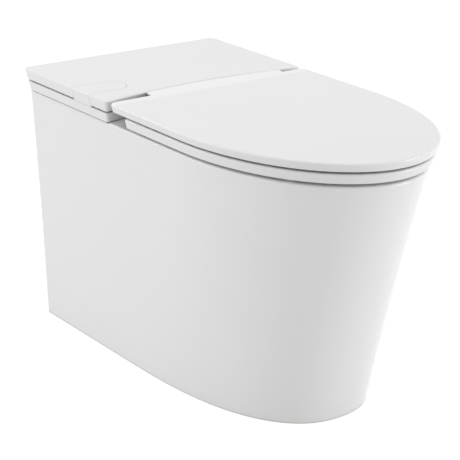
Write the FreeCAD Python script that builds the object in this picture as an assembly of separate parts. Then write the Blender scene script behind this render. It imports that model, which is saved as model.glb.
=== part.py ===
import FreeCAD, Part
import math
import os

V = FreeCAD.Vector

# Tankless toilet, in millimetres: +Z up, front towards -Y, wall towards +Y.
# The origin is on the floor, under the middle of the whole object.

# Overall sizes
overall_length = 710.0
overall_width = 395.0
rim_height = 411.0
edge_flare_share = 0.29
straight_share = 0.392473
running_clearance = 0.05
resting_gap = 0.3
cut_overrun = 5.0

# China body
base_side_setback = 28.75
base_front_setback = 108.0
base_straight_setback = 167.5
base_power_x = 2.3
base_power_y = 2.7
china_side_setback = 12.75
china_front_setback = 12.0
top_power = 2.0
flare_linear_share = 0.8
outline_steps = 16
outline_bisections = 40
outline_levels = 5
china_wall = 13.0
rim_thickness = 25.0
rim_edge_round = 3.5
china_corner_margin = 2.0
rear_window_margin = 16.0
foot_thickness = 18.0
foot_length = 40.0
foot_inner_x = 54.0
foot_bolt_spacing = 152.4
foot_bolt_hole_radius = 6.5

# Bowl
bowl_wall = 11.0
bowl_front_band = 51.0
bowl_side_band = 52.75
bowl_hinge_setback = 64.0
bowl_floor_height = 120.0
# each level: height share, half-length share, half-width share, forward shift share of the opening length
bowl_level_shares = (
    (1.0, 1.0, 1.0, 0.0),
    (0.752, 0.9, 0.917, 0.02),
    (0.489, 0.66, 0.697, 0.08),
    (0.263, 0.427, 0.455, 0.146),
    (0.0, 0.268, 0.303, 0.189),
)
bowl_rim_round = 5.0
bowl_joint_share = 0.77

# Trapway
trap_bore_radius = 26.0
trap_wall = 8.0
trap_bend_radius = 50.0
trap_first_run = 38.0
trap_crown_length = 74.0
trap_crown_drop = 149.0
trap_boss_length = 21.056
trap_crown_run = 108.0
trap_back_run = 198.0
outlet_run = 55.0
# heights along the passage, as shares of its crown's height
trap_inlet_share = 0.5725
trap_back_share = 0.63
trap_knee_share = 0.275

# Deck
deck_depth_middle = 225.0
deck_hollow = 20.0
deck_corner_round = 10.0
deck_front_round = 4.0
deck_top_round = 2.0
deck_base_height = 16.1
deck_tier_gap = 3.8
deck_cover_height = 18.1
deck_wall = 3.0
deck_cover_skin = 3.0
deck_floor_thickness = 3.0
gasket_thickness = 1.0
gasket_inset = 5.2
gasket_band = 9.0
upstand_inset = 8.0
upstand_height = 10.0
well_side_margin = 62.5
well_front_margin = 40.0
well_rear_wall = 35.0
well_depth = 72.0
well_clearance = 5.0
deck_bolt_from_edge = 41.5
deck_bolt_from_front = 112.0
deck_bolt_rear = 50.0
deck_bolt_radius = 3.0
bolt_head_radius = 5.5
bolt_head_height = 4.0
washer_thickness = 1.6
nut_height = 5.0

# Cover fixings
stud_from_edge = 32.5
stud_from_front = 40.0
stud_rear = 25.0
stud_radius = 3.0
stud_length = 18.0
cover_boss_radius = 6.5
grommet_flange_radius = 7.5
grommet_flange_height = 2.0
grommet_body_radius = 5.0
grommet_body_length = 8.0
post_radius = 8.0

# Lid
lid_rear_gap = 5.5
lid_thickness = 13.1
lid_skin = 4.5
lid_wall = 6.0
lid_corner_round = 12.0
lid_edge_round = 3.0
tongue_hinge_gap = 2.0
tongue_right_margin = 42.5
tongue_slant = 10.0
tongue_crease = 19.5
tongue_dip = 0.6
tongue_gap = 1.1
tongue_skin = 2.5
tongue_side_wall = 3.0
bumper_radius = 8.0
bumper_pad_radius = 9.5
lid_bumper_front_share = 0.66
lid_bumper_rear_share = 0.12

# Seat
seat_top_gap = 4.6
seat_thickness = 14.8
seat_hinge_setback = 29.0
seat_corner_round = 7.0
seat_edge_round = 3.0
seat_hole_side_margin = 85.5
seat_hole_front_margin = 68.0
seat_hole_rear_margin = 68.0
seat_bumper_front_share = 0.74
seat_bumper_rear_share = 0.10

# Hinge
hinge_clearance = 10.0
hinge_drop = 9.0
hinge_pin_radius = 2.5
hinge_pin_overhang = 2.0
hinge_post_spacing = 140.0
hinge_post_width = 20.0
hinge_upright_depth = 6.5
hinge_upright_setback = 1.5
hinge_plate_length = 23.0
hinge_plate_thickness = 8.0
knuckle_width = 24.0
knuckle_gap = 1.0
knuckle_radius = 5.3
bush_radius = 4.0
hinge_bolt_setback = 15.5
hinge_bolt_radius = 4.0
hinge_bolt_length = 54.0
hinge_bolt_head_radius = 7.0
hinge_bolt_head_height = 5.0
hinge_nut_radius = 11.0
hinge_nut_height = 14.0
hinge_washer_radius = 13.0
hinge_washer_thickness = 3.0

# Flush tongue
flush_from_front = 74.0
flush_width = 48.0
flush_length = 84.5
flush_gap = 0.6
flush_plate = 4.0
flush_flap_thickness = 3.0
flush_flap_gap = 0.35
flush_pin_radius = 2.0
flush_pin_inset = 21.5
flush_pin_drop = 7.0
flush_lug_radius = 4.0
flush_lug_width = 8.0
flush_lug_gap = 0.5
flush_rib_gap = 0.6
switch_from_edge = 39.5
switch_length = 20.0
switch_width = 12.0
switch_height = 18.0
switch_button_width = 6.0
switch_button_overlap = 6.0
spring_strip = 0.8
spring_width = 10.0
spring_from_edge = 32.5
spring_length = 18.0
spring_from_middle = 16.0

# Flush works in the well
manifold_share = 0.424242
manifold_width = 34.0
manifold_height = 34.0
manifold_from_left = 12.0
manifold_from_rear_wall = 40.0
coil_radius = 16.0
coil_height = 36.0
coil_cap = 7.0
coil_spacing = 52.0
armature_radius = 5.0
armature_clearance = 0.35
armature_length = 24.0
armature_stroke = 2.0
breaker_radius = 8.0
breaker_cap_radius = 9.5
breaker_height = 28.0
breaker_cap_height = 8.0
inlet_radius = 10.5
inlet_bore_radius = 7.0
inlet_reach = 12.0
inlet_collar_radius = 15.0
inlet_collar_length = 8.0
inlet_from_left = 30.0
strainer_wall = 1.0
strainer_length = 14.0
hose_radius = 9.0
hose_bore_radius = 6.5
hose_bend_radius = 36.0
barb_length = 16.0
clamp_wall = 1.4
clamp_width = 8.0
rim_nozzle_drop = 21.0
rim_nozzle_length = 46.0
jet_hose_gap = 24.09
jet_run_rise = 52.0
jet_nozzle_radius = 11.0
jet_nozzle_gap = 3.0

# Control unit
control_share = 0.363636
control_side_gap = 13.0
control_height = 46.0
control_wall = 2.5
control_lid_thickness = 3.0
control_from_right = 10.0
board_thickness = 1.6
board_margin = 4.0
board_rest_height = 8.0
board_peg_radius = 3.0
screw_radius = 1.5
screw_boss = 4.0
screw_head_radius = 2.8
screw_head_height = 1.6
screw_length = 12.0
gland_radius = 9.0
gland_flange_radius = 12.0
gland_flange_length = 5.0
gland_bore_radius = 4.0
gland_reach = 12.0
board_peg_shares = (0.25, 0.75)
relay_shares = (0.3, 0.6)
relay_height = 14.0

# Levels and places that follow from the sizes above
rear_y = overall_length / 2
front_y = -overall_length / 2
half_width = overall_width / 2
deck_depth_side = deck_depth_middle + deck_hollow
straight_length = deck_depth_side + (overall_length - deck_depth_side) * straight_share
straight_end_y = rear_y - straight_length
china_top_length = overall_length - china_front_setback
china_top_width = overall_width - 2 * china_side_setback
base_length = overall_length - base_front_setback
base_straight_length = straight_length - base_straight_setback
base_width = china_top_width - 2 * base_side_setback
deck_bottom = rim_height + gasket_thickness
deck_base_top = deck_bottom + deck_base_height
cover_bottom = deck_base_top + deck_tier_gap
top_z = cover_bottom + deck_cover_height
rim_bottom = rim_height - rim_thickness
lid_bottom = top_z - lid_thickness
seat_top = lid_bottom - seat_top_gap
seat_bottom = seat_top - seat_thickness
deck_side_y = rear_y - deck_depth_side
deck_middle_y = rear_y - deck_depth_middle
lid_rear_y = deck_side_y - lid_rear_gap
hinge_y = deck_side_y - hinge_clearance
hinge_z = top_z - hinge_drop
hinge_bolt_y = hinge_y - hinge_bolt_setback
seat_rear_y = hinge_y - seat_hinge_setback
bowl_rear_y = hinge_y - bowl_hinge_setback
bowl_front_y = rear_y - china_top_length + bowl_front_band
bowl_opening_length = bowl_rear_y - bowl_front_y
bowl_opening_width = china_top_width - 2 * bowl_side_band
bowl_middle_y = bowl_rear_y - bowl_opening_length / 2
floor_top = deck_bottom + deck_floor_thickness
well_half = half_width - well_side_margin
well_rear_y = rear_y - well_rear_wall
well_front_y = deck_middle_y + well_front_margin
well_floor = floor_top - well_depth
flush_y = deck_side_y + flush_from_front
rim_nozzle_z = rim_bottom - rim_nozzle_drop
jet_run_z = bowl_floor_height + jet_run_rise


def box(x0, x1, y0, y1, z0, z1):
    """Block between two corners."""
    return Part.makeBox(x1 - x0, y1 - y0, z1 - z0, V(x0, y0, z0))


def rod(radius, start, end):
    """Round bar between two points."""
    axis = end - start
    return Part.makeCylinder(radius, axis.Length, start, axis)


def pillar(radius, place, z0, z1):
    """Upright round bar over a place, between two heights."""
    return rod(radius, V(place.x, place.y, z0), V(place.x, place.y, z1))


def tube(outer, inner, start, end):
    """Round sleeve between two points."""
    return rod(outer, start, end).cut(rod(inner, start, end))


def hexagon(across_radius, x, y, z0, z1):
    """Upright hexagonal prism, as a nut or a bolt head."""
    corners = [V(x + across_radius * math.cos(math.pi * i / 3),
                 y + across_radius * math.sin(math.pi * i / 3), z0) for i in range(6)]
    wire = Part.makePolygon(corners + corners[:1])
    return Part.Face(wire).extrude(V(0, 0, z1 - z0))


def mix(low, high, share):
    """Value that lies the given share of the way from low to high."""
    return low + (high - low) * share


def line(start, end):
    """Straight edge."""
    return Part.makeLine(start, end)


def corner_arc(start, middle, end):
    """Round edge through three points."""
    return Part.Arc(start, middle, end).toShape()


def oval(centre, half_across, half_along):
    """Ellipse in plan about a centre."""
    across = centre + V(half_across, 0, 0)
    ahead = centre - V(0, half_along, 0)
    ends = (ahead, across) if half_along > half_across else (across, ahead)
    return Part.Ellipse(ends[0], ends[1], centre)


def oval_front(centre, half_across, half_along):
    """Front half of an ellipse in plan."""
    start = -math.pi / 2 if half_along > half_across else 0.0
    return Part.ArcOfEllipse(oval(centre, half_across, half_along), start, start + math.pi).toShape()


def edges_at_height(shape, z):
    """Edges of a shape that lie wholly at one height."""
    return [e for e in shape.Edges if abs(e.BoundBox.ZMin - z) < resting_gap
            and abs(e.BoundBox.ZMax - z) < resting_gap]


def save(node, *solids):
    """Write the solids of one node to its own file."""
    shape = solids[0] if len(solids) == 1 else Part.makeCompound(list(solids))
    shape.exportStep(f"parts/{node}.step")


def flare_inset(z):
    """How far the leaning outer edges of deck, lid and seat have drawn in at a height."""
    return (top_z - z) * edge_flare_share


def round_loss(radius):
    """What a rounding takes off the reach of a leaning edge."""
    return radius * (math.sqrt(1 + edge_flare_share ** 2) + edge_flare_share - 1)


# China body

def superellipse_reach(angle, power_x, power_y):
    """Distance from the middle of a unit superellipse to its edge, at an angle."""
    low = 0.0
    high = 2.0
    for _ in range(outline_bisections):
        reach = (low + high) / 2
        inside = abs(reach * math.cos(angle)) ** power_x + abs(reach * math.sin(angle)) ** power_y < 1
        low, high = (reach, high) if inside else (low, reach)
    return reach


def china_outline(height_share, inset, rear):
    """Outline of the china at a share of the rim's height, drawn in by an inset."""
    grow = flare_linear_share * height_share + (1 - flare_linear_share) * height_share ** 2
    side = mix(base_width, china_top_width, grow) / 2 - inset
    start_y = rear_y - mix(base_straight_length, straight_length, grow)
    reach = mix(base_length, china_top_length, grow) - inset - (rear_y - start_y)
    power_x = mix(base_power_x, top_power, grow)
    power_y = mix(base_power_y, top_power, grow)
    z = rim_height * height_share
    points = []
    steps = [math.pi * i / outline_steps for i in range(outline_steps + 1)]
    for angle in steps:
        out = superellipse_reach(angle, power_x, power_y)
        points.append(V(side * out * math.cos(angle), start_y - reach * out * math.sin(angle), z))
    points[0] = V(side, start_y, z)
    points[-1] = V(-side, start_y, z)
    curve = Part.BSplineCurve()
    curve.interpolate(Points=points, Parameters=steps, InitialTangent=V(0, -reach, 0),
                      FinalTangent=V(0, reach, 0), Scale=False)
    right_rear = V(side, rear, z)
    left_rear = V(-side, rear, z)
    return Part.Wire([curve.toShape(), line(points[-1], left_rear), line(left_rear, right_rear),
                      line(right_rear, points[0])])


def china_loft(inset, rear, top_share):
    """Solid inside the china's outline, from the floor up to a share of the rim's height."""
    shares = [top_share * i / (outline_levels - 1) for i in range(outline_levels)]
    return Part.makeLoft([china_outline(s, inset, rear) for s in shares], True, False)


def bowl_level(level, grow):
    """Oval section of the bowl at one of its levels, grown outwards by a wall."""
    height_share, length_share, width_share, shift_share = level
    z = mix(bowl_floor_height, rim_bottom, height_share)
    half_length = bowl_opening_length / 2 * length_share + grow
    half = bowl_opening_width / 2 * width_share + grow
    middle = bowl_middle_y + bowl_opening_length * shift_share
    return Part.Wire([oval(V(0, middle, z), half, half_length).toShape()])


def bowl_opening(z0, z1):
    """Straight oval plug through the rim."""
    level = bowl_level(bowl_level_shares[0], 0.0)
    level.translate(V(0, 0, z0 - rim_bottom))
    return Part.Face(level).extrude(V(0, 0, z1 - z0))


sump_middle_y = bowl_middle_y + bowl_opening_length * bowl_level_shares[-1][3]
sump_rear_y = sump_middle_y + bowl_opening_length / 2 * bowl_level_shares[-1][1]
trap_outer_radius = trap_bore_radius + trap_wall
trap_start_y = sump_rear_y + bowl_wall + trap_boss_length
trap_crown_z = rim_height - trap_crown_drop
trap_inlet_z = trap_crown_z * trap_inlet_share
outlet_y = trap_start_y + outlet_run
hinge_post_x = hinge_post_spacing / 2
hinge_bolt_places = [V(x, hinge_bolt_y, 0) for x in (-hinge_post_x, hinge_post_x)]
deck_bolt_x = half_width - deck_bolt_from_edge
deck_bolt_places = [V(x, y, 0) for x in (-deck_bolt_x, deck_bolt_x)
                    for y in (deck_side_y + deck_bolt_from_front, rear_y - deck_bolt_rear)]


def china_skirt():
    """Outer wall, rim and deck land, open underneath and at the back."""
    body = china_loft(0.0, rear_y + cut_overrun, 1.0)
    body = body.cut(box(-overall_width, overall_width, rear_y, rear_y + 2 * cut_overrun,
                        -cut_overrun, rim_height + cut_overrun))
    rear_corners = [e for e in body.Edges if e.BoundBox.YMin > rear_y - resting_gap
                    and e.BoundBox.ZLength > rim_height / 2]
    body = body.makeFillet(rim_edge_round + china_corner_margin, rear_corners)
    body = body.makeFillet(rim_edge_round, edges_at_height(body, rim_height))
    cavity = china_loft(china_wall, rear_y - china_wall, rim_bottom / rim_height)
    body = body.cut(cavity)
    body = body.cut(bowl_opening(rim_bottom - cut_overrun, rim_height + cut_overrun))
    bowl_edge = [e for e in edges_at_height(body, rim_height) if e.BoundBox.YMax < bowl_rear_y + resting_gap
                 and e.BoundBox.XMax < bowl_opening_width / 2 + resting_gap]
    body = body.makeFillet(bowl_rim_round, bowl_edge)
    window = base_width / 2 - rear_window_margin
    body = body.cut(box(-window, window, rear_y - china_wall - cut_overrun, rear_y + cut_overrun,
                        -cut_overrun, rim_bottom))
    body = body.cut(box(-well_half - well_clearance, well_half + well_clearance,
                        well_front_y - well_clearance, well_rear_y + well_clearance,
                        rim_bottom - cut_overrun, rim_height + cut_overrun))
    for place in hinge_bolt_places:
        body = body.cut(pillar(hinge_bolt_radius + resting_gap, place, rim_bottom - cut_overrun,
                               rim_height + cut_overrun))
    for place in deck_bolt_places:
        body = body.cut(pillar(deck_bolt_radius + resting_gap, place, rim_bottom - cut_overrun,
                               rim_height + cut_overrun))
    foot_outer_x = base_width / 2 - china_wall / 2
    for side in (-1, 1):
        ends = sorted((side * foot_inner_x, side * foot_outer_x))
        body = body.fuse(box(ends[0], ends[1], outlet_y - foot_length / 2, outlet_y + foot_length / 2,
                             0.0, foot_thickness))
    for side in (-1, 1):
        hole = V(side * foot_bolt_spacing / 2, outlet_y, 0)
        body = body.cut(pillar(foot_bolt_hole_radius, hole, -cut_overrun, foot_thickness + cut_overrun))
    return body.removeSplitter()


def bowl_body():
    """Whole bowl under the rim, with the boss where the trapway leaves its sump."""
    outside = Part.makeLoft([bowl_level(level, bowl_wall) for level in bowl_level_shares], True, False)
    inside = Part.makeLoft([bowl_level(level, 0.0) for level in bowl_level_shares], True, False)
    base = bowl_level(bowl_level_shares[-1], bowl_wall)
    base.translate(V(0, 0, -bowl_wall))
    outside = outside.fuse(Part.Face(base).extrude(V(0, 0, bowl_wall)))
    sump = V(0, sump_middle_y, trap_inlet_z)
    boss_end = V(0, trap_start_y, trap_inlet_z)
    outside = outside.fuse(rod(trap_outer_radius, sump, boss_end))
    bowl = outside.cut(inside)
    bowl = bowl.cut(rod(trap_bore_radius, sump, boss_end + V(0, cut_overrun, 0)))
    nozzle = V(rim_hose_x(), bowl_rear_y, rim_nozzle_z)
    bowl = bowl.cut(rod(hose_bore_radius + resting_gap, nozzle - V(0, bowl_opening_length / 4, 0),
                        nozzle + V(0, bowl_opening_length / 4, 0)))
    jet = V(0, jet_nozzle_y, jet_run_z)
    bowl = bowl.cut(rod(hose_bore_radius + resting_gap, jet, jet - V(bowl_opening_width / 2, 0, 0)))
    return bowl.removeSplitter()


def above_bowl_joint():
    """Block over the level where the bowl's upper ring meets its sump."""
    joint_z = mix(bowl_floor_height, rim_bottom, bowl_joint_share)
    return box(-half_width, half_width, front_y, rear_y, joint_z, rim_height)


def china_bowl():
    """Upper ring of the bowl, under the rim."""
    return bowl_body().common(above_bowl_joint())


def china_sump():
    """Lower bowl, which holds the standing water."""
    return bowl_body().cut(above_bowl_joint())


def rounded_path(points, radius):
    """Straight runs joined by tangent arcs of one radius."""
    edges = []
    start = points[0]
    for before, corner, after in zip(points, points[1:], points[2:]):
        back = (before - corner).normalize()
        ahead = (after - corner).normalize()
        half_angle = back.getAngle(ahead) / 2
        reach = radius / math.tan(half_angle)
        arc_start = corner + back * reach
        arc_end = corner + ahead * reach
        bisector = (back + ahead).normalize()
        arc_middle = corner + bisector * (radius / math.sin(half_angle) - radius)
        edges.append(line(start, arc_start))
        edges.append(corner_arc(arc_start, arc_middle, arc_end))
        start = arc_end
    edges.append(line(start, points[-1]))
    return Part.Wire(edges)


def swept_tube(points, bend, outer, inner):
    """Hollow tube along a path of straight runs and arcs."""
    path = rounded_path([V(p) for p in points], bend)
    direction = V(points[1]) - V(points[0])
    solids = []
    for radius in (outer, inner):
        ring = Part.Wire([Part.makeCircle(radius, V(points[0]), direction)])
        solids.append(path.makePipeShell([ring], True, False))
    return solids[0].cut(solids[1])


def china_trapway():
    """Siphon passage from the bowl's sump, over its crown and down to the floor."""
    crown_y = trap_start_y + trap_crown_run
    points = [
        V(0, trap_start_y, trap_inlet_z),
        V(0, trap_start_y + trap_first_run, trap_inlet_z),
        V(0, crown_y, trap_crown_z),
        V(0, crown_y + trap_crown_length, trap_crown_z),
        V(0, trap_start_y + trap_back_run, trap_crown_z * trap_back_share),
        V(0, outlet_y, trap_crown_z * trap_knee_share),
        V(0, outlet_y, 0),
    ]
    return swept_tube(points, trap_bend_radius, trap_outer_radius, trap_bore_radius)


# Deck

def deck_outline(z, inset, rear_inset):
    """Outline of the deck at a height: leaning sides and a hollow, leaning front."""
    side = half_width + round_loss(deck_top_round) - flare_inset(z) - inset
    front_side = deck_side_y + flare_inset(z) + inset
    front_middle = deck_middle_y + flare_inset(z) + inset
    rear = rear_y - rear_inset
    r = deck_corner_round
    d = r * (1 - math.sqrt(0.5))
    return Part.Wire([
        corner_arc(V(-side, front_side, z), V(0, front_middle, z), V(side, front_side, z)),
        line(V(side, front_side, z), V(side, rear - r, z)),
        corner_arc(V(side, rear - r, z), V(side - d, rear - d, z), V(side - r, rear, z)),
        line(V(side - r, rear, z), V(-side + r, rear, z)),
        corner_arc(V(-side + r, rear, z), V(-side + d, rear - d, z), V(-side, rear - r, z)),
        line(V(-side, rear - r, z), V(-side, front_side, z)),
    ])


def deck_block(z0, z1, inset):
    """Solid between two heights of the deck's outline."""
    wires = [deck_outline(z, inset, inset) for z in (z0, z1)]
    return Part.makeLoft(wires, True, True)


def deck_tier(z0, z1):
    """Block of one tier, with its two front corners rounded."""
    tier = deck_block(z0, z1, 0.0)
    corners = [e for e in tier.Edges if e.BoundBox.YMax < deck_middle_y
               and e.BoundBox.ZLength > (z1 - z0) / 2]
    return tier.makeFillet(deck_front_round, corners)


def deck_front_y(x):
    """Place of the deck's hollow front edge at its top, at a distance from the middle."""
    hollow = deck_middle_y - deck_side_y
    reach = half_width + round_loss(deck_top_round)
    radius = (reach ** 2 + hollow ** 2) / (2 * hollow)
    return deck_middle_y - radius + math.sqrt(radius ** 2 - x ** 2)


stud_x = half_width - stud_from_edge
stud_places = [V(x, y, 0) for x in (-stud_x, stud_x)
               for y in (deck_side_y + stud_from_front, rear_y - stud_rear)]
post_top = deck_base_top
grommet_top = post_top + grommet_flange_height
flush_half = flush_width / 2
switch_x = -half_width + switch_from_edge


def deck_base():
    """Lower tier: tray on the china with an upstand under the cover and a well at the back."""
    base = deck_tier(deck_bottom, deck_base_top)
    base = base.cut(deck_block(floor_top, deck_base_top + cut_overrun, upstand_inset + deck_wall))
    upstand_top = deck_base_top + upstand_height
    upstand = deck_block(deck_base_top, upstand_top, upstand_inset)
    upstand = upstand.cut(deck_block(deck_base_top - cut_overrun, upstand_top + cut_overrun,
                                     upstand_inset + deck_wall))
    base = base.fuse(upstand)
    base = base.cut(box(-well_half, well_half, well_front_y, well_rear_y,
                        deck_bottom - cut_overrun, floor_top + cut_overrun))
    well = box(-well_half, well_half, well_front_y, well_rear_y, well_floor - deck_wall, floor_top)
    well = well.cut(box(-well_half + deck_wall, well_half - deck_wall, well_front_y + deck_wall,
                        well_rear_y - deck_wall, well_floor, floor_top + cut_overrun))
    base = base.fuse(well)
    for place in stud_places:
        base = base.fuse(pillar(post_radius, place, floor_top, post_top))
        bore_bottom = post_top - grommet_body_length - grommet_flange_height
        base = base.cut(pillar(grommet_body_radius + running_clearance, place, bore_bottom,
                               post_top + cut_overrun))
    for place in deck_bolt_places:
        base = base.cut(pillar(deck_bolt_radius + resting_gap, place, deck_bottom - cut_overrun,
                               floor_top + cut_overrun))
    rib_outer = -half_width + flare_inset(deck_base_top) + flush_flap_thickness + flush_rib_gap
    rib_top = cover_bottom - resting_gap
    base = base.fuse(box(rib_outer, rib_outer + upstand_inset, flush_y - flush_half, flush_y + flush_half,
                         deck_base_top - deck_wall, rib_top))
    base = base.cut(rod(inlet_radius + resting_gap, inlet_start(), inlet_end()))
    gland = gland_place()
    through_wall = V(0, well_clearance, 0)
    base = base.cut(rod(gland_radius + resting_gap, gland - through_wall, gland + through_wall))
    hose_way = V(rim_hose_x(), well_front_y, rim_nozzle_z)
    base = base.cut(rod(hose_radius + resting_gap, hose_way - through_wall, hose_way + through_wall))
    drop = V(jet_hose_x(), manifold_y(), 0)
    base = base.cut(pillar(hose_radius + resting_gap, drop, well_floor - well_clearance,
                           well_floor + well_clearance))
    return base.removeSplitter()


def deck_gasket():
    """Foam strip between the deck base and the china, set back from the edge."""
    ring = deck_block(rim_height, deck_bottom, gasket_inset)
    ring = ring.cut(deck_block(rim_height - cut_overrun, deck_bottom + cut_overrun,
                               gasket_inset + gasket_band))
    return ring.removeSplitter()


def flush_outline(gap, z):
    """Plan of the flush tongue: straight from the cover's side, with a round inner end."""
    inner = -half_width + flush_length
    half = flush_half + gap
    outer = -half_width - cut_overrun
    centre = inner - flush_half
    return Part.Wire([
        line(V(outer, flush_y - half, z), V(centre, flush_y - half, z)),
        corner_arc(V(centre, flush_y - half, z), V(centre + half, flush_y, z),
                   V(centre, flush_y + half, z)),
        line(V(centre, flush_y + half, z), V(outer, flush_y + half, z)),
        line(V(outer, flush_y + half, z), V(outer, flush_y - half, z)),
    ])


flush_pin_x = -half_width + flush_pin_inset
flush_pin_z = top_z - flush_pin_drop


def along_flush_pin(radius, y0, y1):
    """Round bar on the flush tongue's pivot axis."""
    return rod(radius, V(flush_pin_x, y0, flush_pin_z), V(flush_pin_x, y1, flush_pin_z))


def flush_lug(y0, y1, top):
    """Rounded block round the pivot axis that hangs from a surface above it."""
    ends = sorted((y0, y1))
    block = box(flush_pin_x - flush_lug_radius, flush_pin_x + flush_lug_radius, ends[0], ends[1],
                flush_pin_z, top)
    return block.fuse(along_flush_pin(flush_lug_radius, y0, y1))


def cover_block(bottom):
    """Outer form of the upper tier down to a height, with its rounded top edge."""
    block = deck_tier(bottom, top_z)
    return block.makeFillet(deck_top_round, edges_at_height(block, top_z))


def deck_cover():
    """Upper tier: shallow hollow cover with a slot for the flush tongue."""
    cover = cover_block(cover_bottom)
    cover = cover.cut(deck_block(cover_bottom - cut_overrun, top_z - deck_cover_skin, deck_wall))
    slot = Part.Face(flush_outline(flush_gap, cover_bottom - cut_overrun))
    cover = cover.cut(slot.extrude(V(0, 0, top_z - cover_bottom + 2 * cut_overrun)))
    for place in stud_places:
        cover = cover.fuse(pillar(cover_boss_radius, place, grommet_top, top_z - deck_cover_skin))
        cover = cover.cut(pillar(stud_radius + running_clearance, place, grommet_top - cut_overrun,
                                 grommet_top + stud_length / 2))
    for side in (-1, 1):
        near = flush_y + side * (flush_half + flush_gap)
        far = near + side * flush_lug_width
        cover = cover.fuse(flush_lug(near, far, top_z - deck_cover_skin))
        cover = cover.cut(along_flush_pin(flush_pin_radius + running_clearance, near - side * cut_overrun,
                                          far - side * deck_wall))
    return cover.removeSplitter()


def cover_studs():
    """Pins under the cover that push into the grommets."""
    half = stud_length / 2
    return [pillar(stud_radius, place, grommet_top - half, grommet_top + half) for place in stud_places]


def cover_grommets():
    """Rubber rings in the deck base's posts that grip the cover's studs."""
    grommets = []
    for place in stud_places:
        ring = pillar(grommet_body_radius, place, post_top - grommet_body_length, post_top)
        ring = ring.fuse(pillar(grommet_flange_radius, place, post_top, grommet_top))
        ring = ring.cut(pillar(stud_radius + running_clearance, place, rim_height, top_z))
        grommets.append(ring.removeSplitter())
    return grommets


def deck_bolts():
    """Bolts that hold the deck base to the china."""
    bolts = []
    for place in deck_bolt_places:
        tip = rim_bottom - washer_thickness - 2 * nut_height
        bolt = pillar(deck_bolt_radius, place, tip, floor_top)
        bolt = bolt.fuse(pillar(bolt_head_radius, place, floor_top, floor_top + bolt_head_height))
        bolts.append(bolt.removeSplitter())
    return bolts


def deck_washers():
    """Washers under the china at the deck bolts."""
    return [tube(bolt_head_radius, deck_bolt_radius + running_clearance,
                 place + V(0, 0, rim_bottom - washer_thickness), place + V(0, 0, rim_bottom))
            for place in deck_bolt_places]


def deck_nuts():
    """Nuts of the deck bolts."""
    nuts = []
    for place in deck_bolt_places:
        top = rim_bottom - washer_thickness
        nut = hexagon(bolt_head_radius, place.x, place.y, top - nut_height, top)
        nuts.append(nut.cut(pillar(deck_bolt_radius + running_clearance, place, 0.0, rim_height)))
    return nuts


# Lid

def panel_outline(z, inset, rear, corner):
    """Outline of the lid or seat at a height: straight sides and an elliptical front."""
    drawn = flare_inset(z) + inset - round_loss(lid_edge_round)
    side = half_width - drawn
    tip = front_y + drawn
    c = corner
    d = c * (1 - math.sqrt(0.5))
    front = oval_front(V(0, straight_end_y, z), side, straight_end_y - tip)
    ends = sorted((front.Vertexes[0].Point, front.Vertexes[-1].Point), key=lambda p: p.x)
    left = ends[0]
    right = ends[1]
    return Part.Wire(Part.__sortEdges__([
        front,
        line(left, V(-side, rear - c, z)),
        corner_arc(V(-side, rear - c, z), V(-side + d, rear - d, z), V(-side + c, rear, z)),
        line(V(-side + c, rear, z), V(side - c, rear, z)),
        corner_arc(V(side - c, rear, z), V(side - d, rear - d, z), V(side, rear - c, z)),
        line(V(side, rear - c, z), right),
    ]))


def panel_block(z0, z1, inset, rear, corner):
    """Solid between two heights of a lid or seat outline."""
    wires = [panel_outline(z, inset, rear, corner) for z in (z0, z1)]
    return Part.makeLoft(wires, True, True)


def tongue_rear_y(x):
    """Rear edge of the lid's hinge tongue, a steady gap in front of the deck."""
    return deck_front_y(x) - tongue_gap


tongue_crease_y = lid_rear_y - tongue_crease
tongue_end_y = tongue_rear_y(0.0)
lid_knuckle_x = hinge_post_x + hinge_post_width / 2 + knuckle_gap + knuckle_width / 2
seat_knuckle_x = hinge_post_x - hinge_post_width / 2 - knuckle_gap - knuckle_width / 2
hinge_shaft_end_x = lid_knuckle_x + knuckle_width / 2 + hinge_pin_overhang
tongue_left = hinge_shaft_end_x + tongue_hinge_gap + tongue_side_wall
tongue_right = half_width - tongue_right_margin


def tongue_plan():
    """Upright prism of the hinge tongue's plan, taller than the lid is thick."""
    z = lid_bottom - cut_overrun
    left = V(-tongue_left, tongue_rear_y(tongue_left), z)
    middle = V(0, tongue_end_y, z)
    right = V(tongue_right, tongue_rear_y(tongue_right), z)
    front_left = V(-tongue_left - tongue_slant, tongue_crease_y, z)
    front_right = V(tongue_right - tongue_slant, tongue_crease_y, z)
    wire = Part.Wire([
        corner_arc(left, middle, right),
        line(right, front_right),
        line(front_right, front_left),
        line(front_left, left),
    ])
    return Part.Face(wire).extrude(V(0, 0, lid_thickness + 2 * cut_overrun))


def under_tongue(drop, low):
    """Space across the lid between a height and a slope that lies a drop below the tongue's top."""
    x = -half_width
    wire = Part.makePolygon([
        V(x, tongue_crease_y, low),
        V(x, tongue_crease_y, top_z - drop),
        V(x, tongue_end_y, top_z - tongue_dip - drop),
        V(x, tongue_end_y, low),
        V(x, tongue_crease_y, low),
    ])
    return Part.Face(wire).extrude(V(overall_width, 0, 0))


def along_hinge(radius, x0, x1):
    """Round bar on the hinge's axis."""
    return rod(radius, V(x0, hinge_y, hinge_z), V(x1, hinge_y, hinge_z))


def bumper_places(rear_share, front_share, width_share):
    """Four bumper places, two towards the hinge and two towards the front."""
    places = []
    for share in (rear_share, front_share):
        y = mix(seat_rear_y, front_y, share)
        ahead = max(straight_end_y - y, 0.0) / (straight_end_y - front_y)
        x = half_width * width_share * math.sqrt(1 - ahead ** 2)
        places += [V(-x, y, 0), V(x, y, 0)]
    return places


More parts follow.
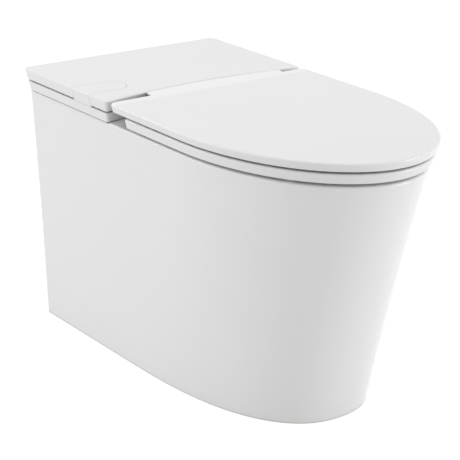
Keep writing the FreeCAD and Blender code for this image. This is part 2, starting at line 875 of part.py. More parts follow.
seat_hole_half = half_width - seat_hole_side_margin
seat_ring_middle_share = (seat_hole_half + half_width) / 2 / half_width
lid_bumper_places = bumper_places(lid_bumper_rear_share, lid_bumper_front_share, seat_ring_middle_share)
seat_bumper_places = bumper_places(seat_bumper_rear_share, seat_bumper_front_share, seat_ring_middle_share)


def lid():
    """Thin hollow lid with a hinge tongue along the deck."""
    panel = panel_block(lid_bottom, top_z, 0.0, lid_rear_y, lid_corner_round)
    panel = panel.makeFillet(lid_edge_round, edges_at_height(panel, top_z))
    pocket = panel_block(lid_bottom - cut_overrun, top_z - lid_skin, lid_wall, lid_rear_y - lid_wall,
                         lid_corner_round - lid_wall / 2)
    panel = panel.cut(pocket)
    plan = tongue_plan()
    panel = panel.cut(plan)
    tongue = plan.common(under_tongue(0.0, lid_bottom))
    bay = box(-tongue_left + tongue_side_wall, tongue_right - tongue_slant - tongue_side_wall,
              tongue_crease_y, tongue_end_y, lid_bottom - cut_overrun, top_z)
    tongue = tongue.cut(bay.common(under_tongue(tongue_skin, lid_bottom - cut_overrun)))
    behind = box(-half_width, half_width, lid_rear_y, tongue_end_y, lid_bottom - cut_overrun, top_z)
    tongue = tongue.cut(behind.common(under_tongue(tongue_skin, lid_bottom - cut_overrun)))
    panel = panel.fuse(tongue)
    for place in lid_bumper_places:
        panel = panel.fuse(pillar(bumper_pad_radius, place, lid_bottom, top_z - lid_skin))
    for side in (-1, 1):
        x0 = side * lid_knuckle_x - knuckle_width / 2
        x1 = side * lid_knuckle_x + knuckle_width / 2
        knuckle = along_hinge(knuckle_radius, x0, x1)
        web = box(x0, x1, hinge_y - knuckle_radius, hinge_y + knuckle_radius, hinge_z, top_z - tongue_dip)
        panel = panel.fuse(knuckle.fuse(web.common(under_tongue(tongue_skin / 2, lid_bottom))))
        panel = panel.cut(along_hinge(bush_radius + running_clearance, x0 - cut_overrun, x1 + cut_overrun))
    return panel.removeSplitter()


def lid_bumpers():
    """Rubber buttons between lid and seat."""
    return [pillar(bumper_radius, place, seat_top + resting_gap, lid_bottom) for place in lid_bumper_places]


# Seat

def seat():
    """Elongated seat ring with two hinge arms."""
    ring = panel_block(seat_bottom, seat_top, 0.0, seat_rear_y, seat_corner_round)
    hole_front = front_y + seat_hole_front_margin
    hole_rear = seat_rear_y - seat_hole_rear_margin
    middle = V(0, (hole_front + hole_rear) / 2, seat_bottom - cut_overrun)
    edge = Part.Wire([oval(middle, seat_hole_half, (hole_rear - hole_front) / 2).toShape()])
    hole = Part.Face(edge).extrude(V(0, 0, seat_thickness + 2 * cut_overrun))
    ring = ring.cut(hole)
    ring = ring.makeFillet(seat_edge_round, edges_at_height(ring, seat_top))
    for side in (-1, 1):
        x0 = side * seat_knuckle_x - knuckle_width / 2
        x1 = side * seat_knuckle_x + knuckle_width / 2
        arm_bottom = seat_bottom + seat_edge_round
        arm = box(x0, x1, seat_rear_y - seat_edge_round - cut_overrun, hinge_y, arm_bottom,
                  seat_top - seat_edge_round)
        upright = box(x0, x1, hinge_y - knuckle_radius, hinge_y + knuckle_radius, arm_bottom, hinge_z)
        ring = ring.fuse(arm.fuse(upright).fuse(along_hinge(knuckle_radius, x0, x1)))
        ring = ring.cut(along_hinge(bush_radius + running_clearance, x0 - cut_overrun, x1 + cut_overrun))
    return ring.removeSplitter()


def seat_bumpers():
    """Rubber buttons between seat and rim."""
    return [pillar(bumper_radius, place, rim_height + resting_gap, seat_bottom)
            for place in seat_bumper_places]


# Hinge

shaft_bore_radius = hinge_pin_radius + running_clearance


def hinge_posts():
    """Two posts bolted to the china that carry the hinge shaft."""
    posts = []
    plate_top = rim_height + hinge_plate_thickness
    plate_half = hinge_plate_length / 2
    upright_y = hinge_y - hinge_upright_setback
    for place in hinge_bolt_places:
        x0 = place.x - hinge_post_width / 2
        x1 = place.x + hinge_post_width / 2
        post = box(x0, x1, hinge_bolt_y - plate_half, hinge_bolt_y + plate_half, rim_height, plate_top)
        post = post.fuse(box(x0, x1, upright_y - hinge_upright_depth, upright_y, rim_height, hinge_z))
        post = post.fuse(along_hinge(knuckle_radius, x0, x1))
        post = post.cut(along_hinge(shaft_bore_radius, x0 - cut_overrun, x1 + cut_overrun))
        post = post.cut(pillar(hinge_bolt_radius + running_clearance, place, rim_height - cut_overrun,
                               plate_top + cut_overrun))
        posts.append(post.removeSplitter())
    return posts


def hinge_bolts():
    """Bolts that hold the hinge posts down through the china."""
    bolts = []
    head_z = rim_height + hinge_plate_thickness
    for place in hinge_bolt_places:
        bolt = pillar(hinge_bolt_radius, place, head_z - hinge_bolt_length, head_z)
        bolt = bolt.fuse(pillar(hinge_bolt_head_radius, place, head_z, head_z + hinge_bolt_head_height))
        bolts.append(bolt.removeSplitter())
    return bolts


def hinge_washers():
    """Rubber washers under the china at the hinge bolts."""
    return [tube(hinge_washer_radius, hinge_bolt_radius + running_clearance,
                 place + V(0, 0, rim_bottom - hinge_washer_thickness), place + V(0, 0, rim_bottom))
            for place in hinge_bolt_places]


def hinge_nuts():
    """Plastic nuts of the hinge bolts."""
    nuts = []
    top = rim_bottom - hinge_washer_thickness
    for place in hinge_bolt_places:
        nut = hexagon(hinge_nut_radius, place.x, place.y, top - hinge_nut_height, top)
        nuts.append(nut.cut(pillar(hinge_bolt_radius + running_clearance, place, 0.0, rim_height)))
    return nuts


def hinge_shaft():
    """Steel shaft through posts, lid knuckles and seat knuckles."""
    return along_hinge(hinge_pin_radius, -hinge_shaft_end_x, hinge_shaft_end_x)


def hinge_sleeve(x):
    """Bush or damper body in a knuckle, turning on the shaft."""
    sleeve = along_hinge(bush_radius, x - knuckle_width / 2, x + knuckle_width / 2)
    return sleeve.cut(along_hinge(shaft_bore_radius, x - knuckle_width, x + knuckle_width))


# Flush tongue and its switch

flush_plate_bottom = top_z - flush_plate
switch_top = flush_plate_bottom - resting_gap


def flush_tongue():
    """Lever let into the cover: flat top, a flap down the deck's side and a hinge lug."""
    bottom = deck_base_top + flush_flap_gap
    blank = Part.Face(flush_outline(0.0, bottom)).extrude(V(0, 0, top_z - bottom))
    lever = blank.common(cover_block(bottom))
    hollow = Part.Face(flush_outline(cut_overrun, bottom - cut_overrun))
    hollow = hollow.extrude(V(0, 0, flush_plate_bottom - bottom + cut_overrun))
    lever = lever.cut(hollow.common(deck_block(bottom - cut_overrun, top_z, flush_flap_thickness)))
    half = flush_half - flush_lug_gap
    lever = lever.fuse(flush_lug(flush_y - half, flush_y + half, flush_plate_bottom))
    lever = lever.cut(along_flush_pin(flush_pin_radius + running_clearance, flush_y - flush_width,
                                      flush_y + flush_width))
    return lever.removeSplitter()


def tongue_pin():
    """Pivot pin of the flush tongue, held in the cover's lugs."""
    reach = flush_half + flush_gap + flush_lug_width - deck_wall - running_clearance
    return along_flush_pin(flush_pin_radius, flush_y - reach, flush_y + reach)


def flush_switch():
    """Micro switch on the deck base's floor, with a guide for its button."""
    x0 = switch_x - switch_length / 2
    y0 = flush_y - switch_width / 2
    top = floor_top + switch_height
    body = box(x0, x0 + switch_length, y0, y0 + switch_width, floor_top, top)
    gap = switch_button_width / 2 + armature_clearance
    guide = box(switch_x - gap, switch_x + gap, flush_y - gap, flush_y + gap,
                top - switch_button_overlap - armature_stroke, top + cut_overrun)
    return body.cut(guide)


def switch_plunger():
    """Button of the flush switch, pushed by the tongue."""
    half = switch_button_width / 2
    return box(switch_x - half, switch_x + half, flush_y - half, flush_y + half,
               floor_top + switch_height - switch_button_overlap, switch_top)


def tongue_spring():
    """Bent leaf spring that lifts the tongue again."""
    bend_x = -half_width + spring_from_edge
    tip_x = bend_x + spring_length
    y = flush_y - spring_from_middle
    low = floor_top
    high = flush_plate_bottom - resting_gap
    outline = [
        V(tip_x, y, low),
        V(bend_x - spring_strip, y, low),
        V(tip_x, y, high),
        V(tip_x, y, high - 2 * spring_strip),
        V(bend_x + spring_strip, y, low + spring_strip),
        V(tip_x, y, low + spring_strip),
    ]
    wire = Part.makePolygon(outline + outline[:1])
    strip = Part.Face(wire).extrude(V(0, spring_width, 0))
    strip.translate(V(0, -spring_width / 2, 0))
    return strip


# Flush works

well_left = -well_half + deck_wall
well_right = well_half - deck_wall
manifold_length = (well_right - well_left) * manifold_share
manifold_x0 = well_left + manifold_from_left
manifold_x1 = manifold_x0 + manifold_length
manifold_top = well_floor + manifold_height


def manifold_y():
    """Middle of the valve manifold, front to back."""
    return well_rear_y - deck_wall - manifold_from_rear_wall - manifold_width / 2


def rim_hose_x():
    """Side place of the rim's hose."""
    return manifold_x1 - hose_radius * 2


def jet_hose_x():
    """Side place of the jet's hose, clear of the sump."""
    return -sump_half_width() - bowl_wall - jet_hose_gap


def inlet_start():
    """Point where the supply fitting meets the manifold."""
    return V(manifold_x0 + inlet_from_left, manifold_y() + manifold_width / 2,
             well_floor + manifold_height / 2)


def inlet_end():
    """Free end of the supply fitting, towards the wall."""
    start = inlet_start()
    return V(start.x, rear_y - inlet_reach, start.z)


coil_places = [V(manifold_x0 + manifold_length / 2 + side * coil_spacing / 2, manifold_y(), manifold_top)
               for side in (-1, 1)]


def valve_manifold():
    """Block that splits the supply between rim and jet."""
    y = manifold_y()
    half = manifold_width / 2
    body = box(manifold_x0, manifold_x1, y - half, y + half, well_floor, manifold_top)
    start = inlet_start()
    body = body.cut(rod(inlet_bore_radius, start, start - V(0, manifold_width / 2, 0)))
    rim_port = V(rim_hose_x(), y - manifold_width / 2, rim_nozzle_z)
    body = body.fuse(rod(hose_bore_radius - running_clearance, rim_port, rim_port - V(0, barb_length, 0)))
    return body.removeSplitter()


def solenoid(place):
    """Coil of a flush valve, with a blind bore for its armature."""
    coil = rod(coil_radius, place, place + V(0, 0, coil_height))
    bore = rod(armature_radius + armature_clearance, place, place + V(0, 0, coil_height - coil_cap))
    return coil.cut(bore)


def armature(place):
    """Sliding core of a flush valve."""
    seat_place = place + V(0, 0, resting_gap)
    return rod(armature_radius, seat_place, seat_place + V(0, 0, armature_length))


def vacuum_breaker():
    """Air inlet valve on the manifold that stops water being drawn back."""
    place = V(manifold_x0 + manifold_length / 2, manifold_y(), manifold_top)
    top = manifold_top + breaker_height
    stem = pillar(breaker_radius, place, manifold_top, top)
    cap = pillar(breaker_cap_radius, place, top - breaker_cap_height, top)
    return stem.fuse(cap).removeSplitter()


def inlet_fitting():
    """Threaded supply stub that reaches through the well's rear wall."""
    start = inlet_start()
    end = inlet_end()
    stub = rod(inlet_radius, start, end)
    collar = V(start.x, well_rear_y, start.z)
    stub = stub.fuse(rod(inlet_collar_radius, collar, collar + V(0, inlet_collar_length, 0)))
    return stub.cut(rod(inlet_bore_radius, start, end + V(0, cut_overrun, 0))).removeSplitter()


def inlet_strainer():
    """Cup-shaped screen inside the supply stub."""
    end = inlet_end()
    outer = inlet_bore_radius - running_clearance
    cup = rod(outer, end - V(0, strainer_length, 0), end)
    floor = end - V(0, strainer_length - strainer_wall, 0)
    return cup.cut(rod(outer - strainer_wall, floor, end + V(0, cut_overrun, 0)))


rim_nozzle_tail_y = bowl_rear_y + rim_nozzle_length
jet_nozzle_y = sump_middle_y


def rim_hose():
    """Straight hose from the manifold to the rim's nozzle."""
    start = V(rim_hose_x(), manifold_y() - manifold_width / 2, rim_nozzle_z)
    end = V(start.x, rim_nozzle_tail_y - barb_length, rim_nozzle_z)
    return tube(hose_radius, hose_bore_radius, start, end)


def rim_nozzle():
    """Nozzle through the back of the bowl that washes the rim."""
    x = rim_hose_x()
    tail = V(x, rim_nozzle_tail_y, rim_nozzle_z)
    mouth = V(x, bowl_rear_y - bowl_wall, rim_nozzle_z)
    barrel = rod(hose_bore_radius - running_clearance, tail, mouth)
    overrun = V(0, cut_overrun, 0)
    return barrel.cut(rod(hose_bore_radius / 2, tail + overrun, mouth - overrun))


def jet_hose():
    """Hose from under the manifold down to the sump's jet."""
    x = jet_hose_x()
    y = manifold_y()
    points = [
        V(x, y, well_floor - deck_wall - resting_gap),
        V(x, y, jet_run_z),
        V(x, jet_nozzle_y + jet_nozzle_radius, jet_run_z),
    ]
    return swept_tube(points, hose_bend_radius, hose_radius, hose_bore_radius)


def jet_nozzle():
    """Elbow at the side of the sump that drives the flush."""
    corner = V(jet_hose_x(), jet_nozzle_y, jet_run_z)
    sump_wall = V(-sump_half_width(), jet_nozzle_y, jet_run_z)
    body = rod(jet_nozzle_radius, corner - V(jet_nozzle_radius, 0, 0),
               sump_wall - V(bowl_wall + jet_nozzle_gap, 0, 0))
    body = body.fuse(rod(hose_bore_radius - running_clearance, corner, sump_wall))
    body = body.fuse(rod(hose_bore_radius - running_clearance, corner,
                         corner + V(0, jet_nozzle_radius + barb_length, 0)))
    body = body.cut(rod(hose_bore_radius / 2, corner, sump_wall + V(cut_overrun, 0, 0)))
    body = body.cut(rod(hose_bore_radius / 2, corner,
                        corner + V(0, jet_nozzle_radius + barb_length + cut_overrun, 0)))
    return body.removeSplitter()


def hose_clamps():
    """Steel bands on the hose ends."""
    inboard = clamp_width * 3 / 2
    rim_start = V(rim_hose_x(), manifold_y() - manifold_width / 2 - clamp_width / 2, rim_nozzle_z)
    rim_end = V(rim_hose_x(), rim_nozzle_tail_y - barb_length + inboard, rim_nozzle_z)
    jet_end = V(jet_hose_x(), jet_nozzle_y + jet_nozzle_radius + inboard, jet_run_z)
    outer = hose_radius + running_clearance + clamp_wall
    return [tube(outer, hose_radius + running_clearance, place, place - V(0, clamp_width, 0))
            for place in (rim_start, rim_end, jet_end)]


# Control unit

control_x1 = well_right - control_from_right
control_x0 = control_x1 - (well_right - well_left) * control_share
control_y0 = well_front_y + deck_wall + control_side_gap
control_y1 = well_rear_y - deck_wall - control_side_gap
control_top = well_floor + control_height
screw_inset = control_wall + screw_boss / 2
control_corners = [V(x, y, 0) for x in (control_x0 + screw_inset, control_x1 - screw_inset)
                   for y in (control_y0 + screw_inset, control_y1 - screw_inset)]


def gland_place():
    """Where the supply lead's gland passes the well's rear wall."""
    return V((control_x0 + control_x1) / 2, well_rear_y, well_floor + control_height / 2)


def control_box():
    """Open tray of the control unit, with four screw bosses and board pegs."""
    tray = box(control_x0, control_x1, control_y0, control_y1, well_floor, control_top)
    tray = tray.cut(box(control_x0 + control_wall, control_x1 - control_wall, control_y0 + control_wall,
                        control_y1 - control_wall, well_floor + control_wall, control_top + cut_overrun))
    for corner in control_corners:
        tray = tray.fuse(pillar(screw_boss, corner, well_floor, control_top))
        tray = tray.cut(pillar(screw_radius + running_clearance, corner, control_top - screw_length,
                               control_top + cut_overrun))
    middle_x = (control_x0 + control_x1) / 2
    for share in board_peg_shares:
        peg = V(middle_x, mix(control_y0, control_y1, share), well_floor)
        tray = tray.fuse(rod(board_peg_radius, peg, peg + V(0, 0, control_wall + board_rest_height)))
    whole = box(control_x0, control_x1, control_y0, control_y1, well_floor, control_top)
    return tray.common(whole).removeSplitter()


def control_lid():
    """Flat lid of the control unit."""
    top = control_top + control_lid_thickness
    plate = box(control_x0, control_x1, control_y0, control_y1, control_top, top)
    for corner in control_corners:
        plate = plate.cut(pillar(screw_radius + running_clearance, corner, control_top - cut_overrun,
                                 top + cut_overrun))
    return plate


def control_screws():
    """Screws of the control unit's lid."""
    screws = []
    head = control_top + control_lid_thickness
    for corner in control_corners:
        screw = pillar(screw_radius, corner, head - screw_length + running_clearance, head)
        screw = screw.fuse(pillar(screw_head_radius, corner, head, head + screw_head_height))
        screws.append(screw.removeSplitter())
    return screws


def circuit_board():
    """Board on the control unit's pegs, with its relay block and battery holder."""
    z = well_floor + control_wall + board_rest_height
    margin = control_wall + screw_boss * 2 + board_margin
    board = box(control_x0 + margin, control_x1 - margin, control_y0 + board_margin + control_wall,
                control_y1 - board_margin - control_wall, z, z + board_thickness)
    relay = box(control_x0 + margin + board_margin, control_x1 - margin - board_margin,
                mix(control_y0, control_y1, relay_shares[0]), mix(control_y0, control_y1, relay_shares[1]),
                z + board_thickness, z + board_thickness + relay_height)
    return board.fuse(relay).removeSplitter()


def power_inlet():
    """Gland in the well's rear wall for the supply lead."""
    place = gland_place()
    inner = V(place.x, control_y1, place.z)
    outer = place + V(0, gland_reach, 0)
    gland = rod(gland_radius, inner, outer)
    flange = place + V(0, resting_gap, 0)
    gland = gland.fuse(rod(gland_flange_radius, flange, flange + V(0, gland_flange_length, 0)))
    lead_way = rod(gland_bore_radius, inner + V(0, deck_wall, 0), outer + V(0, cut_overrun, 0))
    return gland.cut(lead_way).removeSplitter()


def sump_half_width():
    """Half-width of the bowl's sump at the jet's height."""
    floor_level = bowl_level_shares[-1]
    next_level = bowl_level_shares[-2]
    z_next = mix(bowl_floor_height, rim_bottom, next_level[0])
    share = (jet_run_z - bowl_floor_height) / (z_next - bowl_floor_height)
    return bowl_opening_width / 2 * mix(floor_level[2], next_level[2], share)


os.makedirs("parts", exist_ok=True)
save("china_skirt", china_skirt())
save("china_bowl", china_bowl())
save("china_sump", china_sump())
save("china_trapway", china_trapway())
save("deck_base", deck_base())
save("deck_gasket", deck_gasket())
save("deck_cover", deck_cover())
save("cover_studs", *cover_studs())
save("cover_grommets", *cover_grommets())
save("deck_bolts", *deck_bolts())
save("deck_washers", *deck_washers())
save("deck_nuts", *deck_nuts())
save("lid", lid())
save("lid_bumpers", *lid_bumpers())
save("seat", seat())
save("seat_bumpers", *seat_bumpers())
save("hinge_posts", *hinge_posts())
save("hinge_bolts", *hinge_bolts())
save("hinge_washers", *hinge_washers())
save("hinge_nuts", *hinge_nuts())
save("hinge_shaft", hinge_shaft())
save("lid_damper", hinge_sleeve(-lid_knuckle_x))
save("lid_bush", hinge_sleeve(lid_knuckle_x))
save("seat_damper", hinge_sleeve(seat_knuckle_x))
save("seat_bush", hinge_sleeve(-seat_knuckle_x))
save("flush_tongue", flush_tongue())
save("tongue_pin", tongue_pin())
save("tongue_spring", tongue_spring())
save("flush_switch", flush_switch())
save("switch_plunger", switch_plunger())
save("valve_manifold", valve_manifold())
save("rim_solenoid", solenoid(coil_places[1]))
save("jet_solenoid", solenoid(coil_places[0]))
save("rim_armature", armature(coil_places[1]))
save("jet_armature", armature(coil_places[0]))
save("vacuum_breaker", vacuum_breaker())
save("inlet_fitting", inlet_fitting())
save("inlet_strainer", inlet_strainer())
save("rim_hose", rim_hose())
save("rim_nozzle", rim_nozzle())
save("jet_hose", jet_hose())
save("jet_nozzle", jet_nozzle())
save("hose_clamps", *hose_clamps())
save("control_box", control_box())
save("control_lid", control_lid())
save("control_screws", *control_screws())
save("circuit_board", circuit_board())
save("power_inlet", power_inlet())
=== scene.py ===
import math

import bpy
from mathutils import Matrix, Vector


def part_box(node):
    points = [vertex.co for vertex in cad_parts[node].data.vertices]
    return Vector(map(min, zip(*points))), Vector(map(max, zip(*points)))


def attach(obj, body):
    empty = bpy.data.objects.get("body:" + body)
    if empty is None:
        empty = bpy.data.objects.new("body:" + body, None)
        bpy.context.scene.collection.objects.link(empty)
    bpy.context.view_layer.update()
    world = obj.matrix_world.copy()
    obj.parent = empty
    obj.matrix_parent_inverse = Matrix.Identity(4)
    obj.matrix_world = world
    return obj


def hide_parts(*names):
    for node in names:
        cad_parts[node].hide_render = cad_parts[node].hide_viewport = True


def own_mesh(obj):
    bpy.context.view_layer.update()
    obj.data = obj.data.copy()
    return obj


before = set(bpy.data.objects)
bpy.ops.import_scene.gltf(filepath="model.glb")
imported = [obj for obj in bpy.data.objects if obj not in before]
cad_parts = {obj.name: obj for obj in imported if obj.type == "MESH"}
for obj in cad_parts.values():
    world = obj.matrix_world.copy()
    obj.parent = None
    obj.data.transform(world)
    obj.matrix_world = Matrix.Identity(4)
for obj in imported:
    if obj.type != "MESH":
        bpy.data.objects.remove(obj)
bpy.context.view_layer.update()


# China body: skirt, bowl and trapway, cast in one piece from vitreous china slip.
# It is fired with a thick white glaze, which pulls into soft ripples with a rare
# pinhole, and stops short of the dry foot that stands on the floor.

def reckon(tree, operation, *terms):
    """Math node in a shader tree: each term is a number or another node's output."""
    node = tree.nodes.new("ShaderNodeMath")
    node.operation = operation
    for socket, term in zip(node.inputs, terms):
        if isinstance(term, float):
            socket.default_value = term
        else:
            tree.links.new(term, socket)
    return node.outputs["Value"]


def noise(tree, place, scale, detail):
    """Noise over a surface, with its place and scale from other sockets."""
    node = tree.nodes.new("ShaderNodeTexNoise")
    node.inputs["Detail"].default_value = detail
    tree.links.new(place, node.inputs["Vector"])
    tree.links.new(scale, node.inputs["Scale"])
    return node.outputs["Fac"]


def new_group(name, inputs, outputs):
    """Empty shader group with named sockets, ready to be filled."""
    group = bpy.data.node_groups.new(name, "ShaderNodeTree")
    for direction, sockets in (("INPUT", inputs), ("OUTPUT", outputs)):
        for socket, kind in sockets:
            group.interface.new_socket(socket, in_out=direction, socket_type="NodeSocket" + kind)
    given = group.nodes.new("NodeGroupInput").outputs
    result = group.nodes.new("NodeGroupOutput").inputs
    return group, given, result


def uneven_surface():
    """Shader group: drifting tone, drifting sheen and a fine relief over any surface."""
    group, given, result = new_group(
        "uneven_surface",
        inputs=[("Place", "Vector"), ("Colour", "Color"), ("Drift", "Float"), ("Patch Scale", "Float"),
                ("Sheen", "Float"), ("Sheen Drift", "Float"), ("Grain Scale", "Float")],
        outputs=[("Colour", "Color"), ("Roughness", "Float"), ("Height", "Float")],
    )
    patches = noise(group, given["Place"], given["Patch Scale"], detail=3.0)
    noise_middle = 0.5
    centred = reckon(group, "SUBTRACT", patches, noise_middle)
    tone = reckon(group, "MULTIPLY_ADD", centred, given["Drift"], 1.0)
    tint = group.nodes.new("ShaderNodeVectorMath")
    tint.operation = "SCALE"
    group.links.new(given["Colour"], tint.inputs[0])
    group.links.new(tone, tint.inputs["Scale"])
    group.links.new(tint.outputs["Vector"], result["Colour"])
    sheen = reckon(group, "MULTIPLY_ADD", centred, given["Sheen Drift"], given["Sheen"])
    group.links.new(sheen, result["Roughness"])
    grain = noise(group, given["Place"], given["Grain Scale"], detail=2.0)
    group.links.new(grain, result["Height"])
    return group


def fine_pits():
    """Shader group: round pits or cells, 1 in a pit and 0 between pits."""
    group, given, result = new_group(
        "fine_pits",
        inputs=[("Place", "Vector"), ("Scale", "Float"), ("Size", "Float")],
        outputs=[("Mask", "Float")],
    )
    cells = group.nodes.new("ShaderNodeTexVoronoi")
    group.links.new(given["Place"], cells.inputs["Vector"])
    group.links.new(given["Scale"], cells.inputs["Scale"])
    inside = group.nodes.new("ShaderNodeMapRange")
    inside.inputs["To Min"].default_value = 1.0
    inside.inputs["To Max"].default_value = 0.0
    group.links.new(cells.outputs["Distance"], inside.inputs["Value"])
    group.links.new(given["Size"], inside.inputs["From Max"])
    group.links.new(inside.outputs["Result"], result["Mask"])
    return group


surface_group = uneven_surface()
pit_group = fine_pits()


class Finish:
    """A procedural finish: the shared uneven surface feeding one Principled shader."""

    def __init__(self, name, colour, drift, patch, sheen, sheen_drift, grain, relief):
        """Patches and grain are so many to the metre, and the drifts are shares."""
        self.material = bpy.data.materials.new(name)
        self.material.use_nodes = True
        self.tree = self.material.node_tree
        self.shader = self.tree.nodes["Principled BSDF"]
        self.place = self.tree.nodes.new("ShaderNodeTexCoord").outputs["Object"]
        self.normal = None
        surface = self.tree.nodes.new("ShaderNodeGroup")
        surface.node_tree = surface_group
        values = {
            "Colour": (*colour, 1.0),
            "Drift": drift,
            "Patch Scale": patch,
            "Sheen": sheen,
            "Sheen Drift": sheen_drift,
            "Grain Scale": grain,
        }
        for socket, value in values.items():
            surface.inputs[socket].default_value = value
        self.join(self.place, surface.inputs["Place"])
        self.join(surface.outputs["Colour"], self.shader.inputs["Base Color"])
        self.join(surface.outputs["Roughness"], self.shader.inputs["Roughness"])
        grain_depth = 0.0005
        self.emboss(surface.outputs["Height"], strength=relief, depth=grain_depth)

    def join(self, source, target):
        self.tree.links.new(source, target)

    def set(self, **values):
        """Set constants on the shader's own sockets."""
        for name, value in values.items():
            self.shader.inputs[name.replace("_", " ")].default_value = value

    def emboss(self, height, strength, depth):
        """Add a relief to the surface, on top of those it has."""
        bump = self.tree.nodes.new("ShaderNodeBump")
        bump.inputs["Strength"].default_value = strength
        bump.inputs["Distance"].default_value = depth
        self.join(height, bump.inputs["Height"])
        if self.normal:
            self.join(self.normal, bump.inputs["Normal"])
        self.normal = bump.outputs["Normal"]
        self.join(self.normal, self.shader.inputs["Normal"])

    def overlay(self, mask, colour=None, roughness=None):
        """Lay another colour, another sheen or both over the finish where a mask is 1."""
        layers = ((colour, "Base Color", "RGBA"), (roughness, "Roughness", "FLOAT"))
        for value, socket, kind in layers:
            if value is None:
                continue
            target = self.shader.inputs[socket]
            mix = self.tree.nodes.new("ShaderNodeMix")
            mix.data_type = kind
            under, over = [s for s in mix.inputs if s.enabled][1:]
            self.join(mask, mix.inputs["Factor"])
            self.join(target.links[0].from_socket, under)
            over.default_value = (*value, 1.0) if kind == "RGBA" else value
            self.join([s for s in mix.outputs if s.enabled][0], target)

    def pits(self, scale, size):
        """Mask of round pits, with so many to the metre."""
        node = self.tree.nodes.new("ShaderNodeGroup")
        node.node_tree = pit_group
        node.inputs["Scale"].default_value = scale
        node.inputs["Size"].default_value = size
        self.join(self.place, node.inputs["Place"])
        return node.outputs["Mask"]

    def band(self, axis, start, end):
        """Mask that rises from 0 to 1 between two places along an axis, in metres."""
        split = self.tree.nodes.new("ShaderNodeSeparateXYZ")
        self.join(self.place, split.inputs["Vector"])
        rise = self.tree.nodes.new("ShaderNodeMapRange")
        rise.inputs["From Min"].default_value = start
        rise.inputs["From Max"].default_value = end
        self.join(split.outputs[axis], rise.inputs["Value"])
        return rise.outputs["Result"]

    def ribs(self, direction, pitch, turn=0.0):
        """Height of even ribs across a direction, such as a thread or a weave."""
        turned = self.tree.nodes.new("ShaderNodeMapping")
        turned.inputs["Rotation"].default_value = (turn, turn, turn)
        self.join(self.place, turned.inputs["Vector"])
        wave = self.tree.nodes.new("ShaderNodeTexWave")
        wave.bands_direction = direction
        pitch_at_scale_one = math.pi / 10.0
        wave.inputs["Scale"].default_value = pitch_at_scale_one / pitch
        self.join(turned.outputs["Vector"], wave.inputs["Vector"])
        return wave.outputs["Fac"]

    def dress(self, *names):
        """Put this finish on CAD nodes."""
        for name in names:
            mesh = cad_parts[name].data
            mesh.materials.clear()
            mesh.materials.append(self.material)


china_white = (0.80, 0.80, 0.80)
china_glaze = Finish("china_glaze", china_white, drift=0.02, patch=5.0,
                     sheen=0.16, sheen_drift=0.05, grain=60.0, relief=0.03)
china_glaze.set(IOR=1.5, Coat_Weight=0.15, Coat_Roughness=0.08)
pinholes = china_glaze.pits(scale=22.0, size=0.012)
china_glaze.emboss(pinholes, strength=0.08, depth=0.0004)
dry_foot = china_glaze.band("Z", start=0.0032, end=0.0018)
china_glaze.overlay(dry_foot, colour=(0.68, 0.66, 0.61), roughness=0.85)
china_glaze.dress("china_skirt", "china_bowl", "china_sump", "china_trapway")


# Deck base: a tray moulded from white plastic, with a well that holds the flush works.
# Four steel bolts with washers and nuts hold it to the china, on a strip of dark
# closed-cell foam that evens out the fired surface. Its edge is pushed out into the joint as a dark
# band, painted shade for the shadow line under the deck.

deck_white = (0.80, 0.80, 0.80)
deck_plastic = Finish("deck_plastic", deck_white, drift=0.02, patch=7.0,
                      sheen=0.30, sheen_drift=0.05, grain=900.0, relief=0.04)
deck_plastic.dress("deck_base")

foam = Finish("gasket_foam", (0.03, 0.03, 0.032), drift=0.2, patch=60.0,
              sheen=0.9, sheen_drift=0.05, grain=1500.0, relief=0.3)
foam_cells_and_shade = foam.pits(scale=1100.0, size=0.6)
foam.emboss(foam_cells_and_shade, strength=-0.6, depth=0.0006)
# The cells are pressed in and also painted darker still: painted shade in the pores.
foam.overlay(foam_cells_and_shade, colour=(0.014, 0.014, 0.015))
foam.dress("deck_gasket")


def pick(*pieces):
    """Select these pieces alone, with the first one active."""
    bpy.ops.object.select_all(action="DESELECT")
    for piece in pieces:
        piece.select_set(True)
    bpy.context.view_layer.objects.active = pieces[0]


def choose(piece, kind, wanted):
    """Select the wanted faces or vertices of a piece, and leave it open for editing."""
    bpy.ops.object.mode_set(mode="EDIT")
    bpy.ops.mesh.select_mode(type=kind)
    bpy.ops.mesh.select_all(action="DESELECT")
    bpy.ops.object.mode_set(mode="OBJECT")
    for element in piece.data.polygons if kind == "FACE" else piece.data.vertices:
        element.select = wanted(element)
    bpy.ops.object.mode_set(mode="EDIT")


def soften(piece, width, segments):
    """Round the sharp edges of a piece, then shade it by angle."""
    sharp = math.radians(40.0)
    edge = piece.modifiers.new("edge", "BEVEL")
    edge.width = width
    edge.segments = segments
    edge.limit_method = "ANGLE"
    edge.angle_limit = sharp
    bpy.ops.object.modifier_apply(modifier="edge")
    bpy.ops.object.shade_smooth_by_angle(angle=sharp)


def fit(piece, name, finish, slot, body, *nodes):
    """Name a finished piece, give it its finish, and let it stand for CAD nodes on a body."""
    piece.name = name
    piece.data.name = name
    piece.data.materials.clear()
    piece.data.materials.append(finish.material)
    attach(piece, body)
    if nodes:
        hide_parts(*nodes)


# Painted shade: the gasket's outer wall is copied and thickened out towards the deck's edge, so dark
# foam fills the joint where there is shadow.
facing = 0.9
merge_gap = 0.00001
foam_shade_bulge = 0.0045
foam_edge_round = 0.0002
gasket_front = 0.160
front_set_back = 0.0014
gasket_low, gasket_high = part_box("deck_gasket")
gasket_height = gasket_high[2] - gasket_low[2]
gasket_middle = (gasket_high[2] + gasket_low[2]) / 2

